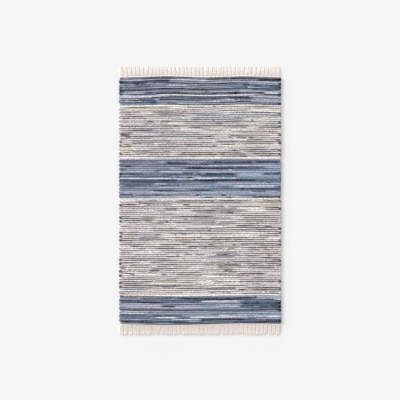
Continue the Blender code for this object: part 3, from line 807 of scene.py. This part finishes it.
def tube_grid(name, centres, half_wide, half_high, sides):
    """A closed tube for each row of centres, rolled from one grid. half_wide and half_high give each
    station's size."""
    count, stations, _ = centres.shape
    piece = flat_grid(name, stations, sides)
    copies = piece.modifiers.new("copies", "ARRAY")
    copies.count = count
    copies.use_relative_offset = False
    copies.use_constant_offset = True
    copies.constant_offset_displace = (0.0, 0.0, 1.0)
    bpy.ops.object.modifier_apply(modifier="copies")
    mesh = piece.data
    station, side, which = grid_places(mesh, stations, sides)
    along = np.gradient(centres, axis=1)
    along /= np.linalg.norm(along, axis=2)[:, :, None]
    across = np.stack([along[:, :, 1], -along[:, :, 0], np.zeros(along.shape[:2])], 2)
    across /= np.linalg.norm(across, axis=2)[:, :, None]
    above = np.cross(across, along)
    ring = 2 * np.pi * side / sides
    wide = np.broadcast_to(half_wide, (count, stations))[which, station]
    high = np.broadcast_to(half_high, (count, stations))[which, station]
    spot = centres[which, station]
    spot = spot + across[which, station] * (wide * np.cos(ring))[:, None]
    spot = spot + above[which, station] * (high * np.sin(ring))[:, None]
    spot[:, 2] = np.maximum(spot[:, 2], 0.0)
    mesh.vertices.foreach_set("co", spot.ravel())
    close_up(bpy.ops.mesh.edge_face_add)
    return piece


# The cotton is undyed. Its colour carries painted light: painted shade near the floor and at its far tips, a
# painted highlight at its near tips
LIT_HEIGHT = 0.0022          # height over which the yarn is in full light
LOW_PAINTED_SHADE = 0.72
FAR_TIPS = (LENGTH / 2 + 0.030, LENGTH / 2 + 0.041)
FAR_TIP_PAINTED_SHADE = 0.86
NEAR_TIPS = (-LENGTH / 2 - 0.025, -LENGTH / 2 - 0.040)
NEAR_TIP_PAINTED_LIGHT = 1.2


def cotton(name, colour, deep):
    """Cotton yarn, with colour on its ridges and deep between its fibres, painted shade near the floor and at
    the far tips, and a painted highlight at the near tips.
    """
    made, nodes, links, shader = new_material(name)
    where = nodes.new("ShaderNodeTexCoord")
    fibres = noise_on(nodes, links, where.outputs["Object"], scale=420.0, detail=5.0)
    tones = nodes.new("ShaderNodeValToRGB")
    tones.color_ramp.elements[0].position = 0.3
    tones.color_ramp.elements[0].color = (*light_of(deep), 1.0)
    tones.color_ramp.elements[1].position = 0.6
    tones.color_ramp.elements[1].color = (*light_of(colour), 1.0)
    links.new(fibres, tones.inputs["Fac"])
    places = nodes.new("ShaderNodeSeparateXYZ")
    links.new(where.outputs["Object"], places.inputs["Vector"])
    # Painted shade: the colour darkens towards the floor, where the yarns' sides lie in shade.
    low = graded(nodes, links, places.outputs["Z"], 0.0, LIT_HEIGHT, first=LOW_PAINTED_SHADE, last=1.0)
    # Painted shade at the far tips and a painted highlight at the near tips.
    far_tip_painted_shade = graded(nodes, links, places.outputs["Y"], *FAR_TIPS, first=1.0, last=FAR_TIP_PAINTED_SHADE)
    near_tip_painted_light = graded(nodes, links, places.outputs["Y"], *NEAR_TIPS, first=1.0, last=NEAR_TIP_PAINTED_LIGHT)
    lit = shaded(nodes, links, tones.outputs["Color"], low)
    tip_painted_light = shaded(nodes, links, lit, product(nodes, links, far_tip_painted_shade, near_tip_painted_light))
    links.new(tip_painted_light, shader.inputs["Base Color"])
    raise_cloth(nodes, links, shader, fibres, strength=0.5, distance=0.0003)
    return made


warp_material = cotton("warp_cotton", (196, 189, 184), (150, 142, 136))
halves = (("left_warps", range(1, WARPS // 2)), ("right_warps", range(WARPS // 2, WARPS - 1)))
for half_name, half_warps in halves:
    paths = []
    for warp in half_warps:
        x = FIRST_WARP + WARP_PITCH * warp
        at = int(round((x - station_x[0]) / STEP))
        path = []
        for pick in range(PICKS):
            far_line, near_line = grooves[pick][at], grooves[pick + 1][at]
            over = (warp + pick) % 2 == 0
            height = RAG_TOP - PINCH + THREAD_PROUD if over else THREAD_UNDER
            path.append((x, far_line, RAG_MIDDLE))
            path.append((x, far_line * (1 - FLOAT_SHARE) + near_line * FLOAT_SHARE, height))
            path.append((x, far_line * FLOAT_SHARE + near_line * (1 - FLOAT_SHARE), height))
        path.append((x, near_line, RAG_MIDDLE))
        paths.append(path)
    threads = tube_grid(half_name, np.array(paths), THREAD, THREAD, THREAD_SIDES)
    threads.data.materials.append(warp_material)
    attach(threads, "root")


# The fringe: the cut warp ends, two to a bundle and forty bundles at each end of the rug, each bundle parted
# into eleven yarns. A heading of two cotton cords, twined round the bundles one by one, lies against the last
# pick and locks the weave.
BUNDLES = 40
LOWER_YARNS = 6              # on the floor in each bundle, with the rest on top of them
UPPER_YARNS = 5
UPPER_SHARE = 0.84           # width of the upper yarns together, to the lower ones
UPPER_RISE = 0.0017          # how far the upper yarns lie over the lower ones
YARN = 0.00098               # half its thickness
YARN_STATIONS = 14
YARN_SIDES = 6
ROOT_SIZE = 0.85             # a yarn is drawn in at its first three stations
TIP_SIZES = (0.95, 0.85, 0.65, 0.3)
BUNDLE_GAP_SHARE = {1: 0.13, -1: 0.03}
FAN = {1: (-0.14, -0.02), -1: (-0.06, 0.06)}  # how much a bundle narrows or widens towards its tips
TIP_LINE = {1: LENGTH / 2 + 0.0413, -1: LENGTH / 2 + 0.0450}
TRIM = {1: 0.0044, -1: 0.0130}  # how unevenly the tips are cut
FRINGE_SEED = {1: 5, -1: 8}
STRAY = 0.0006               # how far a bundle's root or tip lies off its place
BOW = 0.0005                 # how far a bundle bows to the side
YARN_BOW = 0.0003            # and a yarn in it
CORNER_BOW = 0.0024          # the leftmost bundle curls outwards
LEAN_CURVE = 1.2             # a yarn leans slowly at first,
SAG_CURVE = 3                # and sinks to the floor near its tip
ROOT_GAP = 0.0002            # between the last pick and a yarn's start

HEADING_WIDTH = 0.594
HEADING_DEPTH = 0.0045       # along the warp
HEADING_MIDDLE = 0.0018      # height of its middle
HEADING_SHARE = 0.22         # of a yarn's length, over which it rises or sinks to that height
GAP = 0.0003                 # between the last pick and the heading
CORD_STEPS = 8               # to a bundle
CORD_SIDES = 10
CORD_RISE = 0.0008           # how far the twined cords pass over and under the bundles
CORD_SWING = 0.0007          # and to and fro
CORD_HALF_WIDTH = (0.0008, 0.0010)   # between two bundles, and how much more over one
CORD_HALF_HEIGHT = (0.0007, 0.0003)

# How far the tips lean along X from their roots, at even stations from the left edge to the right
LEANS = {
    1: (
        -0.0030, -0.0050, -0.0050, -0.0040, -0.0015, -0.0030, 0.0015, 0.0040, 0.0010, -0.0020,
        -0.0040, -0.0065, -0.0050, -0.0020, 0.0, 0.0015, 0.0020, -0.0010, 0.0005, -0.0025,
        -0.0055, 0.0015, 0.0040, 0.0045, 0.0015, -0.0015, -0.0040, -0.0055, -0.0020, 0.0020,
        0.0050, 0.0025, 0.0010, 0.0060, 0.0065, 0.0045, 0.0015, -0.0010, 0.0020, 0.0,
    ),
    -1: (-0.0030, 0.0010, -0.0008, 0.0022, 0.0028, -0.0020, 0.0006, 0.0026, -0.0012, -0.0018, 0.0014),
}
pitch = HEADING_WIDTH / BUNDLES


def fringe_yarns(name, end):
    """All the yarns of one fringe, bundle by bundle from left to right."""
    tie = np.random.default_rng(FRINGE_SEED[end])
    spread = pitch * (1 - BUNDLE_GAP_SHARE[end])
    stations = np.linspace(-WIDTH / 2, WIDTH / 2, len(LEANS[end]))
    share = np.linspace(0, 1, YARN_STATIONS)
    in_heading = np.clip(1 - share / HEADING_SHARE, 0, 1)
    line = end * LENGTH / 2
    layers = ((LOWER_YARNS, YARN, 1.0), (UPPER_YARNS, YARN + UPPER_RISE, UPPER_SHARE))
    paths = []
    for bundle in range(BUNDLES):
        middle = -HEADING_WIDTH / 2 + (bundle + 0.5) * pitch + tie.uniform(-1, 1) * STRAY
        lean = np.interp(middle, stations, LEANS[end]) + tie.uniform(-1, 1) * STRAY
        bow = tie.uniform(-1, 1) * BOW
        if bundle == 0:
            bow -= CORNER_BOW
        fan = tie.uniform(*FAN[end])
        root = abs(line + sway(middle, line)) + ROOT_GAP
        for yarns, height, narrow in layers:
            for yarn in range(yarns):
                offset = ((yarn + 0.5) / yarns - 0.5) * spread * narrow
                own = tie.uniform(-1, 1) * YARN_BOW
                x = middle + offset * (1.0 + fan * share) + lean * share ** LEAN_CURVE
                x += (bow + own) * np.sin(np.pi * share)
                tip = TIP_LINE[end] - TRIM[end] * tie.random()
                y = end * (root + share * (tip - root))
                sag = height - (height - YARN) * share ** SAG_CURVE
                z = sag * (1 - in_heading) + HEADING_MIDDLE * in_heading
                paths.append(np.stack([x, y, z], 1))
    size = YARN * np.ones((len(paths), YARN_STATIONS))
    size[:, 0:3] *= ROOT_SIZE
    size[:, -len(TIP_SIZES):] *= TIP_SIZES
    return tube_grid(name, np.array(paths), size, size, YARN_SIDES)


def twined_heading(name, end):
    """Two cords that cross between every two bundles, one over and one under."""
    x = np.linspace(-HEADING_WIDTH / 2, HEADING_WIDTH / 2, BUNDLES * CORD_STEPS + 1)
    line = end * LENGTH / 2
    middle_y = line + sway(x, line) + end * (GAP + HEADING_DEPTH / 2)
    at_bundle = np.pi * (x + HEADING_WIDTH / 2) / pitch
    cords = []
    for strand in (0, 1):
        swing = at_bundle + np.pi * strand
        z = HEADING_MIDDLE + CORD_RISE * np.sin(swing)
        cords.append(np.stack([x, middle_y + CORD_SWING * np.cos(swing), z], 1))
    swell = np.abs(np.sin(at_bundle))
    wide = np.array([CORD_HALF_WIDTH[0] + CORD_HALF_WIDTH[1] * swell] * 2)
    high = np.array([CORD_HALF_HEIGHT[0] + CORD_HALF_HEIGHT[1] * swell] * 2)
    return tube_grid(name, np.array(cords), wide, high, CORD_SIDES)


fringe_material = cotton("fringe_cotton", (250, 243, 238), (234, 222, 215))
for name, end in (("far", 1), ("near", -1)):
    yarns = fringe_yarns(name + "_fringe", end)
    yarns.data.materials.append(fringe_material)
    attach(yarns, "root")
    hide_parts("fringe_" + name)

    heading = twined_heading(name + "_heading", end)
    heading.data.materials.append(fringe_material)
    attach(heading, "root")
    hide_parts("fringe_" + name)


# The floor, light and camera: a white floor in soft daylight, seen from straight above.
FLOOR_SIZE = 14.0
FLOOR_TONES = (0.835, 0.855)
DAYLIGHT = 0.73
bpy.ops.object.select_all(action="DESELECT")
bpy.ops.mesh.primitive_plane_add(size=FLOOR_SIZE, location=(0.0, 0.0, 0.0))
floor = bpy.context.active_object
floor.name = "floor"
floor_material, nodes, links, shader = new_material("white_floor")
where = nodes.new("ShaderNodeTexCoord")
patches = noise_on(nodes, links, where.outputs["Object"], scale=3.0, detail=2.0)
paint = nodes.new("ShaderNodeValToRGB")
for element, tone in zip(paint.color_ramp.elements, FLOOR_TONES):
    element.color = (tone, tone, tone, 1.0)
links.new(patches, paint.inputs["Fac"])
links.new(paint.outputs["Color"], shader.inputs["Base Color"])
floor.data.materials.append(floor_material)

scene = bpy.context.scene
scene.view_settings.view_transform = "Standard"
world = bpy.data.worlds.new("daylight")
world.use_nodes = True
world.node_tree.nodes["Background"].inputs["Color"].default_value = (1.0, 1.0, 1.0, 1.0)
world.node_tree.nodes["Background"].inputs["Strength"].default_value = DAYLIGHT
scene.world = world

# Two windows: how high each stands over the floor, how far it is turned from the far side to the left,
# how wide it is, all in degrees, and its strength
WINDOWS = (
    {"name": "side_window", "height": 15.5, "turn": 62, "width": 22, "strength": 3.14},
    {"name": "far_window", "height": 8.5, "turn": 6, "width": 14, "strength": 2.0},
)
for row in WINDOWS:
    bpy.ops.object.light_add(type="SUN")
    window = bpy.context.active_object
    window.name = row["name"]
    window.data.energy = row["strength"]
    window.data.angle = math.radians(row["width"])
    window.rotation_euler = (math.radians(90 - row["height"]), 0.0, math.radians(180 + row["turn"]))

CAMERA_PLACE = (-0.0006, 0.0017, 3.0)
FRAME_WIDTH = 1.486          # how much of the rug's level the picture takes in
camera_data = bpy.data.cameras.new("above")
camera = bpy.data.objects.new("above", camera_data)
scene.collection.objects.link(camera)
camera.location = CAMERA_PLACE
camera_data.angle = 2 * math.atan(FRAME_WIDTH / 2 / (CAMERA_PLACE[2] - RAG_TOP))
camera_data.clip_end = 20.0
scene.camera = camera
